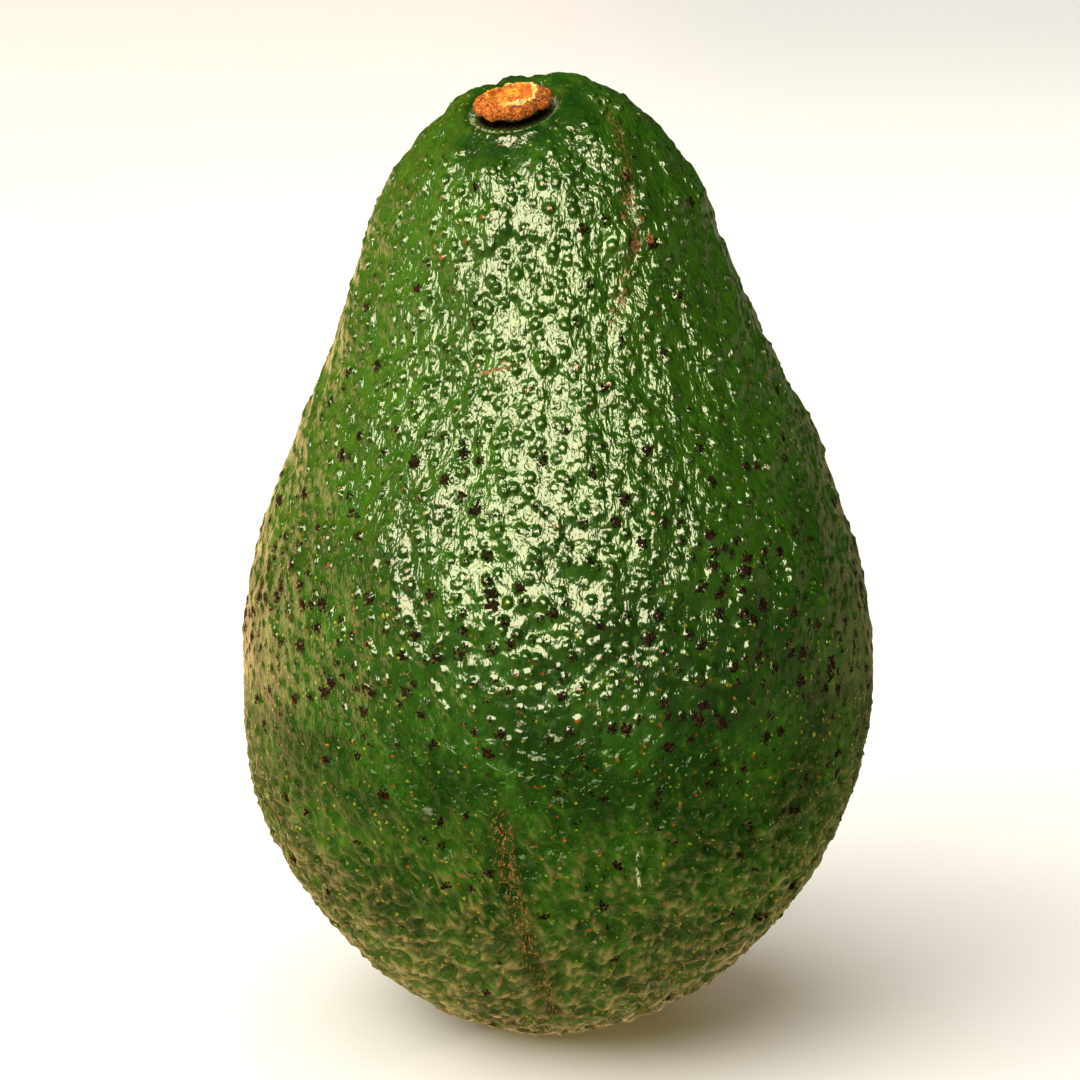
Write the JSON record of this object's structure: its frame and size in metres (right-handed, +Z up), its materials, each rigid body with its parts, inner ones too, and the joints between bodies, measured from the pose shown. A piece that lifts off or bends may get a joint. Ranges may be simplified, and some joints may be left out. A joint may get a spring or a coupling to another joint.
{
  "type": "avocado",
  "caption": "Whole green pear-shaped avocado with a pebbled glossy skin and the cut stub of its stem, standing on the small flat spot at its blossom end",
  "frame": {"origin": "Middle of the small flat spot at the blossom end on which the fruit stands", "axes": "+Z up along the fruit to its stem end, -Y towards the front that the picture shows, +X to the right in the picture"},
  "size_m": [0.0704, 0.0689, 0.1068],
  "materials": {
    "skin": "dark green waxy fruit skin, pebbled and glossy",
    "stem_cork": "dry orange-brown cork of a cut fruit stem, matt"
  },
  "bodies": {
    "root": {"fruit": "skin", "stem_stub": "stem_cork"}
  },
  "joints": []
}
